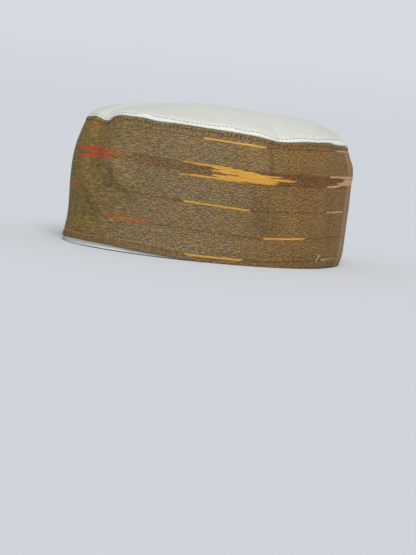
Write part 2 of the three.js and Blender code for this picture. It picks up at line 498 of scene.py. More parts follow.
def build_mesh(name, points, uv, closed, material, kept=None):
    """A mesh from a net. uv has one more column than points, and one more row if the section is closed.
    An open section's first and last rows shrink to one vertex each. kept is a name and the values from
    0 to 1 that the material reads."""
    rows, columns = points.shape[:2]
    row = np.arange(rows if closed else rows - 1)[:, None]
    column = np.arange(columns)[None, :]
    ring = [(row, column), (row, column + 1), (row + 1, column + 1), (row + 1, column)]
    quads = np.stack([(r % rows) * columns + c % columns for r, c in ring], -1).reshape(-1, 4)
    corners = np.stack([uv[r, c] for r, c in ring], -2).reshape(-1, 2)
    mesh = bpy.data.meshes.new(name)
    mesh.from_pydata(place(points).reshape(-1, 3).tolist(), [], quads.tolist())
    layer = mesh.uv_layers.new(name="cloth")
    layer.data.foreach_set("uv", corners.astype(np.float32).ravel())
    if kept:
        values = mesh.attributes.new(kept[0], "FLOAT", "POINT")
        values.data.foreach_set("value", np.clip(kept[1], 0, 1).astype(np.float32).ravel())
    if not closed:
        weld(mesh)
    return finish_piece(name, mesh, material)


def weld(mesh):
    edit = bmesh.new()
    edit.from_mesh(mesh)
    bmesh.ops.remove_doubles(edit, verts=edit.verts, dist=1e-7)
    edit.to_mesh(mesh)
    edit.free()


def into_scene(name, data):
    made = bpy.data.objects.new(name, data)
    bpy.context.scene.collection.objects.link(made)
    return made


def finish_piece(name, mesh, material):
    mesh.shade_smooth()
    mesh.materials.append(material)
    mesh.validate()
    return into_scene(name, mesh)


# A thread's sides, the share of its radius that its ends keep, and a direction that no thread runs in
THREAD_SIDES = 6
THREAD_END = 0.35
NEARLY_UP = np.array([0.05, 0.08, 1.0])


def tubes(name, paths, radius, material):
    """One mesh of closed tubes along paths of points in millimetres, from the oval's middle."""
    vertices, faces = [], []
    corners = range(THREAD_SIDES)
    ring = np.arange(THREAD_SIDES) * 2 * math.pi / THREAD_SIDES
    for path in paths:
        along = np.gradient(path, axis=0)
        along /= np.linalg.norm(along, axis=1, keepdims=True)
        side = np.cross(along, NEARLY_UP)
        side /= np.linalg.norm(side, axis=1, keepdims=True)
        other = np.cross(side, along)
        taper = np.minimum(1, THREAD_END + 3 * np.sin(np.linspace(0, math.pi, len(path))))
        start = len(vertices)
        for centre, u, v, r in zip(path, side, other, radius * taper):
            vertices.extend(centre + r * (math.cos(a) * u + math.sin(a) * v) for a in ring)
        for step in range(len(path) - 1):
            low = start + step * THREAD_SIDES
            high = low + THREAD_SIDES
            for k in corners:
                after = (k + 1) % THREAD_SIDES
                faces.append((low + k, low + after, high + after, high + k))
        last = start + (len(path) - 1) * THREAD_SIDES
        faces.append(tuple(start + k for k in reversed(corners)))
        faces.append(tuple(last + k for k in corners))
    mesh = bpy.data.meshes.new(name)
    mesh.from_pydata(place(np.array(vertices)).tolist(), [], faces)
    return finish_piece(name, mesh, material)


class Surface:
    """A net that stitches are laid on: points and normals, looked up by row and by arc."""

    def __init__(self, points, closed):
        self.points = points
        self.normals = grid_normals(points, closed)

    def at(self, row, arc, out):
        column = (np.asarray(arc) - arcs[0]) / GIRTH * COLUMNS
        row = np.broadcast_to(row, column.shape)
        r, c = np.floor(row).astype(int), np.floor(column).astype(int)
        fr, fc = (row - r)[:, None], (column - c)[:, None]
        r1 = np.minimum(r + 1, len(self.points) - 1)
        c, c1 = c % COLUMNS, (c + 1) % COLUMNS

        def look(net):
            low = net[r, c] * (1 - fc) + net[r, c1] * fc
            high = net[r1, c] * (1 - fc) + net[r1, c1] * fc
            return low * (1 - fr) + high * fr

        return look(self.points) + look(self.normals) * np.asarray(out)[:, None]


def stitch_row(surface, row_of, length, proud, sink, seed, skew=0.0):
    """Paths of a row of machine stitches, each a little off. row_of gives the net's row for an arc."""
    draw = np.random.default_rng(seed)
    step = np.linspace(-1, 1, 7)
    paths = []
    for k in range(STITCHES_ROUND):
        middle = arcs[0] + (k + 0.5 + draw.uniform(-0.06, 0.06)) * GIRTH / STITCHES_ROUND
        reach = length / 2 * draw.uniform(0.9, 1.08)
        arc = middle + reach * step
        out = -sink + (proud + sink) * (1 - np.abs(step) ** 2.5) * draw.uniform(0.85, 1.1)
        paths.append(surface.at(row_of(arc) + skew * step, arc, out))
    return paths


# Materials


class Nodes:
    """Builds the nodes of a material or a world: most methods add a node and return its output."""

    def __init__(self, made, shader="Principled BSDF"):
        made.use_nodes = True
        self.made = made
        self.tree = made.node_tree
        self.shader = self.tree.nodes[shader]

    def link(self, socket, value):
        if isinstance(value, bpy.types.NodeSocket):
            self.tree.links.new(value, socket)
        else:
            socket.default_value = value

    def new(self, kind, inputs, **settings):
        """A new node with its settings, and with its inputs linked to other nodes or set."""
        node = self.tree.nodes.new("ShaderNode" + kind)
        for name, value in settings.items():
            setattr(node, name, value)
        for socket, value in inputs.items():
            self.link(node.inputs[socket], value)
        return node

    def math(self, operation, *values):
        return self.new("Math", dict(enumerate(values)), operation=operation).outputs[0]

    def add(self, a, b):
        return self.math("ADD", a, b)

    def subtract(self, a, b):
        return self.math("SUBTRACT", a, b)

    def times(self, a, b):
        return self.math("MULTIPLY", a, b)

    def floor(self, a):
        return self.math("FLOOR", a)

    def counted(self, at, pitch):
        """The number of the thread at a place."""
        return self.floor(self.times(at, 1 / pitch))

    def rounded(self, at, pitch):
        """How high a thread's round stands, from 0 at its sides to 1."""
        return self.math("ABSOLUTE", self.math("SINE", self.times(at, math.pi / pitch)))

    def step_between(self, at, low, high):
        """0 up to low, 1 from high on, and smooth between them."""
        inputs = {"Value": at, "From Min": low, "From Max": high}
        return self.new("MapRange", inputs, interpolation_type="SMOOTHSTEP").outputs[0]

    def spread(self, at, low, high):
        """A value from 0 to 1 spread from low to high."""
        return self.math("MULTIPLY_ADD", at, high - low, low)

    def vector(self, x, y=0.0, z=0.0):
        return self.new("CombineXYZ", {0: x, 1: y, 2: z}).outputs[0]

    def parts(self, vector):
        return self.new("SeparateXYZ", {0: vector}).outputs

    def cloth_map(self):
        """Millimetres round and up the cloth."""
        x, y, _ = self.parts(self.new("UVMap", {}, uv_map="cloth").outputs[0])
        return self.times(x, 1 / MM), self.times(y, 1 / MM)

    def attribute(self, name):
        """A value from 0 to 1 that the mesh holds at its vertices."""
        return self.new("Attribute", {}, attribute_name=name).outputs["Fac"]

    def place(self, kind="Object"):
        return self.new("TexCoord", {}).outputs[kind]

    def chance(self, x, y, z):
        """An even random value from 0 to 1 for each whole x, y, z."""
        inputs = {"Vector": self.vector(x, y, z)}
        return self.new("TexWhiteNoise", inputs, noise_dimensions="3D").outputs["Value"]

    def noise(self, vector, scale=1.0, detail=1.0):
        return self.new("TexNoise", {"Vector": vector, "Scale": scale, "Detail": detail}).outputs[0]

    def mix(self, factor, a, b, blend="MIX"):
        inputs = {"Factor": factor, 6: a, 7: b}
        return self.new("Mix", inputs, data_type="RGBA", blend_type=blend).outputs[2]

    def tint(self, colour, by, factor=1.0):
        """A colour multiplied by another."""
        return self.mix(factor, colour, by, "MULTIPLY")

    def bright(self, colour, by):
        """A colour times a brightness."""
        return self.new("VectorMath", {0: colour, "Scale": by}, operation="SCALE").outputs[0]

    def ramp(self, at, stops, interpolation="LINEAR"):
        """The colour at a place between stops of a place and a colour."""
        node = self.new("ValToRGB", {0: at})
        node.color_ramp.interpolation = interpolation
        elements = node.color_ramp.elements
        elements[0].position, elements[0].color = stops[0]
        elements[1].position, elements[1].color = stops[-1]
        for position, colour in stops[1:-1]:
            elements.new(position).color = colour
        return node.outputs["Color"]

    def bump(self, height, distance, strength=1.0):
        inputs = {"Height": height, "Distance": distance, "Strength": strength}
        self.link(self.shader.inputs["Normal"], self.new("Bump", inputs).outputs[0])

    def finish(self, colour, roughness, specular, sheen=0.0):
        self.link(self.shader.inputs["Base Color"], colour)
        self.shader.inputs["Roughness"].default_value = roughness
        self.shader.inputs["Specular IOR Level"].default_value = specular
        self.shader.inputs["Sheen Weight"].default_value = sheen
        return self.made


def srgb(red, green, blue):
    """A screen colour from 0 to 255 as the linear colour that a shader takes."""

    def linear(value):
        value /= 255
        return value / 12.92 if value <= 0.04045 else ((value + 0.055) / 1.055) ** 2.4

    return (linear(red), linear(green), linear(blue), 1)


# The ikat chart. Its yarns run round the band, and its pattern comes round in three dyes in turn.
# Each row has the lowest yarn, how many yarns it dyes, and where its red, orange and pink stretches
# start and end in a repeat. A yarn's width, a repeat's length and where one starts are in mm too.
YARN = 0.55
REPEAT = 114
REPEAT_START = -58
YARNS_UP = 160
HEM_LINE = (12, 2, (8, 56.5), (26.6, 63), (19, 42))
LOW_LINE = (39, 2, (78.5, 113), (77, 111), (75, 110))
MIDDLE_LINE = (70, 2, (4, 58.5), (20.5, 65), (17.5, 43))
FLAME = [
    (100, 1, (0, 0), (17.5, 56), (0, 0)),
    (101, 1, (34, 58), (26, 84), (12.5, 27)),
    (102, 1, (35, 66), (43, 80), (14, 32)),
    (103, 1, (42, 80), (38, 82), (22, 50)),
    (104, 1, (47, 82), (39, 84), (29, 64)),
    (105, 1, (50, 79), (47, 96), (30, 72)),
    (106, 1, (57, 82), (54, 99), (28, 76)),
    (107, 1, (55, 82), (44, 92), (34, 80)),
    (108, 1, (48, 78), (39, 79), (35, 82)),
    (109, 1, (44, 88), (38, 84), (39, 84)),
    (110, 1, (43, 100), (44.5, 86), (40, 80)),
    (111, 1, (45, 85), (41, 69), (36, 76)),
    (112, 1, (41, 79), (38.5, 64), (31, 80)),
    (113, 1, (35, 73), (27, 58), (18, 74)),
    (114, 1, (30, 64), (17.5, 50), (15.5, 60)),
]
TOP_LINE = [
    (144, 1, (14, 59), (32, 74), (31, 76)),
    (145, 1, (0, 0), (32, 74), (31, 76)),
]
DYED_YARNS = [HEM_LINE, LOW_LINE, MIDDLE_LINE, *FLAME, *TOP_LINE]
DYE_COLUMNS = (2, 3, 4)
NO_STRETCH = (0, 0, 0, 1)
RED = srgb(206, 82, 41)
ORANGE = srgb(227, 167, 71)
PINK = srgb(214, 170, 125)

# How far a dyed stretch slips along its yarn, over what length its ends fade, and how well the red covers
YARN_SLIP = 1.5
START_FADE = 1.2
END_FADE = 1.5
RED_COVER = 0.76

# The middle line's yarns and the flame's lowest ones: the middle of them, and how far they lie from it
MIDDLE_YARNS = (70.5, 1.0)
LOWEST_YARNS = (101.5, 1.6)

# The pattern runs on past the seam and round the back, a little drawn out, to meet the forehead's repeat
REPEATS_ROUND = 5
BACK_DRAWN = (REPEAT_START + REPEATS_ROUND * REPEAT - SEAM_ARC) / (REPEAT_START + GIRTH - SEAM_ARC)

# Colours of the yarns that run round, of those that run up, and of a dyed yarn beside its stretch
ROUND_TONES = [
    (0.28, srgb(75, 66, 53)),
    (0.42, srgb(113, 97, 74)),
    (0.56, srgb(147, 128, 98)),
    (0.72, srgb(195, 174, 138)),
]
UP_TONES = [
    (0.28, srgb(97, 84, 64)),
    (0.42, srgb(126, 108, 79)),
    (0.56, srgb(151, 131, 97)),
    (0.72, srgb(185, 164, 126)),
]
BESIDE_TONES = [
    (0.34, srgb(62, 42, 33)),
    (0.48, srgb(99, 73, 50)),
    (0.63, srgb(159, 119, 77)),
]

# Tints of the ground: golden over the forehead, warm round the back, and paler along the seam
GOLDEN = srgb(255, 248, 184)
WARM = srgb(255, 233, 190)
SEAM_TINT = srgb(196, 160, 120)

# Tints of its flecks, one way and the other
YELLOW_FLECK = srgb(255, 242, 197)
COOL_FLECK = srgb(236, 232, 246)
GREEN_FLECK = srgb(242, 255, 238)
PINK_FLECK = srgb(255, 243, 248)

# A place on the woven cloth: mm round and up, its yarn and pick, which repeat of the pattern it lies in
# and how far into it, and 1 where that repeat has the second dye or the third
ClothPlace = namedtuple("ClothPlace", "u v yarn pick repeat within second third")


def cloth_place(n):
    u, v = n.cloth_map()
    past_seam = n.math("MULTIPLY_ADD", u, BACK_DRAWN, SEAM_ARC + (GIRTH - SEAM_ARC) * BACK_DRAWN)
    at_back = n.math("LESS_THAN", u, REPEAT_START)
    drawn = n.add(u, n.times(at_back, n.subtract(past_seam, u)))
    along = n.times(n.subtract(drawn, REPEAT_START), 1 / REPEAT)
    repeat = n.floor(along)
    within = n.times(n.subtract(along, repeat), REPEAT)
    dye = n.math("MODULO", repeat, 3)
    second = n.math("COMPARE", dye, 1, 0.5)
    third = n.math("COMPARE", dye, 2, 0.5)
    return ClothPlace(u, v, n.counted(v, YARN), n.counted(u, YARN), repeat, within, second, third)


def by_dye(n, at, red, orange, pink):
    """The one of three values that goes with the dye of the repeat."""
    return n.mix(at.third, n.mix(at.second, red, orange), pink)


def dye_chart(n, at):
    """Where the yarn's dyed stretch starts and ends, in parts of a repeat, and 1 for a dyed yarn."""
    at_yarn = n.times(n.add(at.yarn, 0.5), 1 / YARNS_UP)
    charts = []
    for column in DYE_COLUMNS:
        # A row that starts where the one below it ends takes its closing stop's place
        stops = {0.0: NO_STRETCH}
        for row in DYED_YARNS:
            low, count, (start, end) = row[0], row[1], row[column]
            stops[low / YARNS_UP] = (start / REPEAT, end / REPEAT, 1, 1)
            stops[(low + count) / YARNS_UP] = NO_STRETCH
        charts.append(n.ramp(at_yarn, list(stops.items()), "CONSTANT"))
    return n.parts(by_dye(n, at, *charts))


def passed(n, at, edge, draw, fade):
    """From 0 to 1 as a place passes an edge of the stretch, which slips a little along each yarn."""
    slip = n.spread(n.chance(at.yarn, at.repeat, draw), -YARN_SLIP, YARN_SLIP)
    edge_mm = n.math("MULTIPLY_ADD", edge, REPEAT, slip)
    return n.step_between(at.within, n.subtract(edge_mm, fade), n.add(edge_mm, fade))


def dyed_stretches(n, at):
    """How far the dye covers the yarn, the dye's colour, and 1 for a dyed yarn."""
    start, end, dyed = dye_chart(n, at)
    begun = passed(n, at, start, 1.5, START_FADE)
    ended = passed(n, at, end, 2.5, END_FADE)
    coloured = n.times(n.times(dyed, begun), n.subtract(1.0, ended))
    coloured = n.times(coloured, n.spread(n.math("MAXIMUM", at.second, at.third), RED_COVER, 1.0))
    # The orange yarns differ less from one another
    differing = n.spread(at.second, 1.0, 0.4)
    paler = n.times(n.spread(n.chance(at.yarn, at.repeat, 4.5), -0.26, 0.08), differing)
    streak = n.noise(n.vector(n.times(at.u, 0.12), n.times(at.yarn, 7.7), 11.0))
    brightness = n.times(n.add(paler, 1.0), n.spread(streak, 0.85, 1.15))
    return coloured, n.bright(by_dye(n, at, RED, ORANGE, PINK), brightness), dyed


def yarn_tones(n, at, golden):
    """The tones of the yarns that run round and up. The flecks are longest over the forehead."""
    past_forehead = n.add(n.math("MAXIMUM", at.u, 40), n.math("MINIMUM", at.u, -60))
    run = n.add(n.times(at.u, 0.2), n.times(past_forehead, 0.25))
    own = n.noise(n.vector(run, n.times(n.add(at.yarn, 0.5), 1.3)))
    above = n.noise(n.vector(run, n.times(n.add(at.yarn, 1.5), 1.3)))
    from_above = n.times(n.subtract(above, 0.5), n.spread(golden, -0.46, 0.3))
    flecks = n.add(n.spread(own, -0.52, 0.52), from_above)
    round_tone = n.math("MULTIPLY_ADD", flecks, n.spread(golden, 1.0, 0.68), 0.5)
    up_tone = n.noise(n.vector(n.times(n.add(at.pick, 0.5), 0.9), n.times(at.v, 0.3), 3.0))
    return round_tone, up_tone


def round_yarns(n, at, round_tone, dyed):
    """The yarns that run round, darker beside a dyed stretch. In a red repeat they are only a little
    darker until near its end, or sooner in the middle line. The flame's lowest ones are dark only
    between the wearer's left and the seam."""
    plain = n.ramp(round_tone, ROUND_TONES)
    beside = n.ramp(round_tone, BESIDE_TONES)
    sooner = n.times(n.math("COMPARE", at.yarn, *MIDDLE_YARNS), 26)
    past_red = n.step_between(n.add(at.within, sooner), 90, 108)
    past_red = n.math("MAXIMUM", past_red, n.math("MAXIMUM", at.second, at.third))
    lowest = n.times(n.math("COMPARE", at.yarn, *LOWEST_YARNS), n.step_between(at.u, 90, 50))
    darkness = n.times(n.spread(n.step_between(at.u, 60, 150), 0.8, 1.0), n.subtract(1.0, lowest))
    darkness = n.times(darkness, n.spread(past_red, 0.3, 1.0))
    return n.mix(n.times(dyed, darkness), plain, beside)


def either_way(n, fleck, patch):
    """From 0 to 1, mostly by fleck and a little by patch."""
    return n.step_between(n.add(n.times(fleck, 0.8), n.times(patch, 0.2)), 0.38, 0.62)


def tinted(n, at, colour, golden):
    """The ground's colour, with its flecks' tints and those of the forehead and the back."""
    warmer = n.math("MAXIMUM", n.step_between(at.u, 88, 165), n.step_between(at.u, -200, -300))
    yarn_place = n.times(n.add(at.yarn, 0.5), 1.3)
    cool_fleck = n.noise(n.vector(n.times(at.u, 0.3), yarn_place, 21.0))
    cool_patch = n.noise(n.place(), 110)
    pink_fleck = n.noise(n.vector(n.times(at.u, 0.22), yarn_place, 33.0))
    pink_patch = n.noise(n.vector(n.times(at.u, 0.07), n.times(at.v, 0.13), 5.0))
    cool = either_way(n, cool_fleck, cool_patch)
    cool = n.add(cool, n.times(n.times(warmer, 0.3), n.subtract(0.5, cool)))
    pink = either_way(n, pink_fleck, pink_patch)
    colour = n.tint(colour, n.mix(cool, YELLOW_FLECK, COOL_FLECK))
    colour = n.tint(colour, n.mix(pink, GREEN_FLECK, PINK_FLECK))
    colour = n.tint(colour, GOLDEN, golden)
    return n.tint(colour, WARM, warmer)


def ikat_cloth():
    n = Nodes(bpy.data.materials.new("ikat_cloth"))
    at = cloth_place(n)
    golden = n.times(n.step_between(at.u, 64, -14), n.step_between(at.u, -210, -100))
    round_tone, up_tone = yarn_tones(n, at, golden)
    coloured, dye, dyed = dyed_stretches(n, at)

    # Plain weave: the two yarns cover each other in turn, and a dyed bundle's yarns show more
    parity = n.math("PINGPONG", n.add(at.yarn, at.pick), 1)
    side = n.math("PINGPONG", n.times(at.u, 2 / YARN), 1)
    crossing = n.times(parity, n.step_between(side, 0.2, 0.5))
    cover = n.times(crossing, n.spread(coloured, 0.72, 0.22))
    colour = n.mix(cover, round_yarns(n, at, round_tone, dyed), n.ramp(up_tone, UP_TONES))
    colour = tinted(n, at, colour, golden)

    # The paler strip past the seam, and the dye over the ground
    by_seam = n.step_between(at.u, SEAM_ARC - GIRTH + 28, SEAM_ARC - GIRTH + 4)
    strip = n.bright(SEAM_TINT[:3], n.spread(round_tone, 0.7, 1.0))
    colour = n.mix(n.times(by_seam, 0.42), colour, strip)
    dye_lit = n.bright(dye, n.spread(round_tone, 0.66, 1.3))
    colour = n.mix(n.times(coloured, n.spread(cover, 1.0, 0.4)), colour, dye_lit)

    # Painted shade in the creases' dents and a painted highlight on their swells, and darker towards the rim
    painted_crease_light = n.spread(n.attribute("painted_crease_light"), 1.2, 0.78)
    darker_by_rim = n.spread(n.step_between(at.v, 2, 13), 0.86, 1.0)
    drift = n.spread(n.noise(n.place(), 26, 2.0), 0.98, 1.08)
    colour = n.bright(colour, n.times(n.times(drift, darker_by_rim), painted_crease_light))

    round_height = n.times(n.rounded(at.v, YARN), n.spread(parity, 1.0, 0.5))
    up_height = n.times(n.rounded(at.u, YARN), n.times(parity, 0.9))
    weave = n.math("MAXIMUM", round_height, up_height)
    n.bump(n.add(weave, n.times(round_tone, 0.8)), 0.18 * MM)
    return n.finish(colour, 0.86, sheen=0.05, specular=0.2)


def cotton(name, colour, darker, brightness=None, pitch=0.38):
    """A fine plain cotton in one colour, brighter with a painted highlight where the value that brightness
    names is over a half, and darker with painted shade where it is under.
    """
    n = Nodes(bpy.data.materials.new(name))
    u, v = n.cloth_map()
    column, row = n.counted(u, pitch), n.counted(v, pitch)
    parity = n.math("PINGPONG", n.add(column, row), 1)
    up_threads = n.times(n.rounded(u, pitch), parity)
    round_threads = n.times(n.rounded(v, pitch), n.subtract(1.0, parity))
    slub_u = n.noise(n.vector(n.times(u, 0.3), n.times(row, 3.1)), detail=2.0)
    slub_v = n.noise(n.vector(n.times(column, 2.7), n.times(v, 0.3), 5.0), detail=2.0)
    cloud = n.noise(n.place(), 35, 3.0)
    uneven = n.add(n.times(n.add(slub_u, slub_v), 0.35), n.times(cloud, 0.3))
    shade = n.mix(n.step_between(uneven, 0.35, 0.65), darker, colour)
    if brightness:
        shade = n.bright(shade, n.spread(n.attribute(brightness), 0.91, 1.085))
    n.bump(n.add(n.add(up_threads, round_threads), n.times(uneven, 1.5)), 0.08 * MM, 0.7)
    return n.finish(shade, 0.85, sheen=0.15, specular=0.25)


def thread(name, colour, lighter):
    """A twisted sewing thread."""
    n = Nodes(bpy.data.materials.new(name))
    twist = n.noise(n.place(), 2500)
    n.bump(twist, 0.05 * MM, 0.8)
    shade = n.mix(n.step_between(twist, 0.35, 0.65), colour, lighter)
    return n.finish(shade, 0.6, sheen=0.1, specular=0.35)


def floor_paper(colour, dimming=0.985):
    """A pale matt paper, a little dimmer in wide clouds."""
    n = Nodes(bpy.data.materials.new("floor_paper"))
    dimmer = (*(part * dimming for part in colour[:3]), 1)
    return n.finish(n.mix(n.noise(n.place(), 3, 2.0), colour, dimmer), 0.9, specular=0.1)


# The walls of the band and the lining


def quarter(radius, steps):
    """Depth and rise of points on a quarter round of a cloth edge."""
    angles = np.radians(np.linspace(0, 90, steps))
    return radius * (1 - np.cos(angles)), radius * np.sin(angles)


def closed_column(shares):
    """A closed section's shares down a column, where the first comes again at the end."""
    return np.append(shares, shares[0])[:, None]


def wall_map(up):
    """The cloth map of a wall, in metres round and up it."""
    return np.stack(np.broadcast_arrays(map_arcs * MM, up * MM), -1)


# The band

BAND_TURN = 0.6
DEEPEST_DENT = 0.95

# The cloth laps over itself past the seam: how thick, and over what length it fades
LAP_THICKNESS = 0.55
LAP_LENGTH = 14


def band_section():
    """Shares of height and depths behind the outer face, up the outside and down the inside."""
    depth, rise = quarter(BAND_TURN, 5)
    outside = np.concatenate([
        np.linspace(0.012, 0.12, 16), np.linspace(0.12, 0.93, 40)[1:], np.linspace(0.93, 0.991, 15)[1:],
    ])
    inside = np.array([0.96, 0.9, 0.8, 0.65, 0.5, 0.35, 0.2, 0.1, 0.04])
    top = 1 - (BAND_TURN - rise) / BAND_HEIGHT
    bottom = (BAND_TURN - rise) / BAND_HEIGHT
    shares = np.concatenate([outside, top, top[::-1], inside, bottom, bottom[::-1]])
    depths = np.concatenate([
        0 * outside, depth, BAND_CLOTH - depth[::-1],
        0 * inside + BAND_CLOTH, BAND_CLOTH - depth, depth[::-1],
    ])
    return shares, depths


def way_up(azimuth, arc, share):
    """How far up the cloth a place in the wall is, in the rows of its weave."""
    level = share * edge_height(azimuth) * BAND_HEIGHT / (BAND_HEIGHT + front_taller(azimuth))
    notch = NOTCH_DIP * bell(arc + 3, 22) * smoothstep(share, 0.8, 0.95)
    hem = HEM_DIP * bell(arc - 78, 25) * (1 - smoothstep(share, 0.08, 0.2))
    flame = -FLAME_LIFT * bell(arc - 128, 45) * bell(share - 0.7, 0.13)
    return level + curve_through(ROW_DIP, 1, arc) + notch + hem + flame


def band_relief(height, dents):
    """How far the outer face stands out: unevenness, dents, puckers and grooves of the stitching."""
    wide = 0.3 * ripple(rounds, height, seed=5, waves_round=(4, 14), up_length=60)
    small = 0.12 * ripple(rounds, height, seed=6, waves_round=(15, 45), up_length=25)
    uneven = wide + small
    down = BAND_HEIGHT - height
    strength = 0.75 + 0.5 * ripple(rounds, 0 * height, seed=8, waves_round=(20, 60), up_length=50)
    pucker = 0.2 * strength * stitch_waves * bell(down - TOP_STITCH_DOWN, 2.4)
    groove = -0.28 * bell(down - TOP_STITCH_DOWN, 0.7)
    roll = 0.22 * bell(down - 1.0, 1.0)
    over_hem = height - hem_stitch_up(arcs)
    hem_pucker = 0.15 * stitch_waves * bell(over_hem, 2.2)
    hem_groove = -0.32 * bell(over_hem, 0.8)
    hem_fold = 0.25 * bell(height - 3.0, 2.6)
    past = (arcs - arcs[0]) / LAP_LENGTH
    lap = LAP_THICKNESS * np.exp(-past) * np.clip(past * 60, 0, 1)
    before = 0.15 * bell(arcs - (arcs[0] + GIRTH), 3)
    return uneven + dents + pucker + groove + roll + hem_pucker + hem_groove + hem_fold + lap + before


def band():
    shares, depths = band_section()
    share, depth = shares[:, None], depths[:, None]
    points = in_wall(azimuths, share, depth, rim_rise(azimuths))
    normals = grid_normals(points, True)
    outer = np.clip(1 - depth / BAND_TURN, 0, 1)
    height = share * BAND_HEIGHT
    dents = np.maximum(creases(arcs, height), -DEEPEST_DENT)
    points = points + normals * (outer * band_relief(height, dents))[..., None]
    points[..., 2] = np.maximum(points[..., 2], 0)
    uv = wall_map(way_up(map_azimuths, map_arcs, closed_column(shares)))
    # Painted shade in the dents and a painted highlight on the swells, which the cloth's colour reads
    painted_crease_light = ("painted_crease_light", 0.5 - 0.5 * outer * dents)
    piece = build_mesh("band_cloth", points, uv, True, ikat_cloth(), painted_crease_light)
    return piece, Surface(points, True), shares


# The crown

# The net runs this far in from the edge to the middle, wherever it is round the cap
DOME_REACH = 92
CROWN_BEHIND = BAND_CLOTH + GAP

# The cloth comes up behind the band and folds out over its edge: depth behind the face, share, raise
TUCK = [
    (CROWN_BEHIND, 0.91, 0),
    (CROWN_BEHIND, 0.96, 0),
    (CROWN_BEHIND, 1.0, 0.05),
    (1.2, 1.0, 0.1),
    (0.7, 1.0, 0.14),
    (0.4, 1.0, 0.22),
]


def crown_net():
    """Points from the middle inside round the edge to the middle outside, and how far in from the edge
    each row of the outside lies, with -1 for the other rows."""
    far_in = np.concatenate([
        np.arange(0.15, 4.3, 0.3), np.arange(4.5, 7.6, 0.5), np.arange(7.9, 16, 1.1),
        np.linspace(17, DOME_REACH - 1.2, 24), [DOME_REACH],
    ])
    outer_share = (1 - far_in / DOME_REACH)[:, None]
    outside = on_dome(azimuths, outer_share, CROWN_STEP_IN, CROWN_RISE, CROWN_LIFT)
    depths, shares, raises = (np.array(column)[:, None] for column in zip(*TUCK))
    tuck = in_wall(azimuths, shares, depths)
    tuck[..., 2] += raises
    inner_in = np.concatenate([[0], np.linspace(1.5, 14, 8), np.linspace(18, DOME_REACH, 16)])
    inner_share = (1 - inner_in / DOME_REACH)[:, None]
    inside = on_dome(azimuths, inner_share, CROWN_BEHIND + CROWN_CLOTH, CROWN_RISE - CROWN_CLOTH, 0)
    flange = in_wall(azimuths, np.array([1.0, 0.96, 0.91])[:, None], CROWN_BEHIND + CROWN_CLOTH)
    points = np.concatenate([inside[::-1], flange, tuck, outside])
    distance = np.concatenate([-np.ones(len(points) - len(far_in)), far_in])
    return points, distance


def crown_relief(outer, distance, line):
    """How far the outside stands out, by its distance in from the edge and where the stitching runs."""
    off_middle = outer * smoothstep(DOME_REACH - distance, 4, 70)
    roll = 0.6 * np.clip(line / 2.4, 0.35, 1) * np.sin(math.pi * np.clip(distance / line, 0, 1)) ** 0.7
    groove = -0.28 * bell(distance - line, 0.45)
    puff = 0.3 * bell(distance - line - 2.4, 1.9)
    pucker = 0.09 * stitch_waves * bell(distance - line, 2.0)
    gathers = ripple(rounds, distance, seed=21, waves_round=(30, 90), up_length=60)
    gather = 0.22 * gathers * bell(distance - line, 7)
    waves = ripple(rounds, distance, seed=22, waves_round=(3, 11), up_length=90)
    uneven = 0.45 * waves * smoothstep(distance, 2, 25)
    crease = -0.6 * bell(distance - 14, 9) * bell(arcs - 152 - 0.5 * distance, 2.5)
    return outer * (roll + groove + puff + pucker + gather) + off_middle * (uneven + crease)


def crown():
    points, distances = crown_net()
    distance = distances[:, None]
    line = crown_stitch_in(arcs)
    outer = np.where(distance >= 0, 1.0, 0.0)
    points = points + grid_normals(points, False) * crown_relief(outer, distance, line)[..., None]
    uv = np.concatenate([points, points[:, :1]], 1)[..., :2] * MM

    # A painted highlight on the edge's roll out to the stitching, and painted shade in a band just inside it
    painted_lit_roll = 1 - smoothstep(distance, line - 0.3, line + 0.3)
    painted_shade_inside = smoothstep(distance, line, line + 0.8) * (1 - smoothstep(distance, line + 4, line + 26))
    painted_edge_light = ("painted_edge_light", 0.5 + outer * (0.5 * painted_lit_roll - 0.5 * painted_shade_inside))
    material = cotton("crown_cloth", srgb(229, 229, 219), srgb(220, 221, 211), brightness="painted_edge_light")
    piece = build_mesh("crown_cloth", points, uv, False, material, painted_edge_light)
    return piece, Surface(points, False), distances


# The lining

LINING_TURN = 0.42
LINING_EDGE_TURN = 0.3

# It steps in between these shares, to pass inside the crown's turned-down cloth
STEP_START = 0.785
STEP_END = 0.85


def lining():
    depth, rise = quarter(LINING_TURN, 4)
    wall = np.concatenate([
        np.linspace(0.008, 0.1, 7), np.linspace(0.15, 0.76, 13), np.linspace(STEP_START, 0.98, 12),
    ])
    top = np.full(2, 0.985)
    bottom = (LINING_TURN - rise) / BAND_HEIGHT
    shares = np.concatenate([wall, top, wall[::-1], bottom, bottom[::-1]])
    inward = np.concatenate([
        0 * wall, [LINING_EDGE_TURN, LINING_CLOTH - LINING_EDGE_TURN],
        0 * wall + LINING_CLOTH, LINING_CLOTH - depth, depth[::-1],
    ])
    step = (CROWN_CLOTH + GAP) * np.clip((shares - STEP_START) / (STEP_END - STEP_START), 0, 1)
    share = shares[:, None]
    depths = (BAND_CLOTH + GAP + inward + step)[:, None]
    points = in_wall(azimuths, share, depths, HEM_HANG * hem_rise(azimuths))

    inner_face = np.where(inward[:, None] > 0.6, 1.0, 0.0)
    height = share * BAND_HEIGHT
    groove = -0.16 * bell(height - LINING_STITCH_UP, 0.9)
    pucker = 0.06 * stitch_waves * bell(height - LINING_STITCH_UP, 2)
    uneven = 0.25 * ripple(rounds, height, seed=31, waves_round=(6, 30), up_length=40)
    relief = inner_face * (groove + pucker + uneven)
    points = points + grid_normals(points, True) * relief[..., None]
    material = cotton("lining_cloth", srgb(244, 246, 241), srgb(235, 238, 232))
    piece = build_mesh("lining_cloth", points, wall_map(closed_column(shares) * BAND_HEIGHT), True, material)
    return piece, Surface(points, True), shares, len(wall)


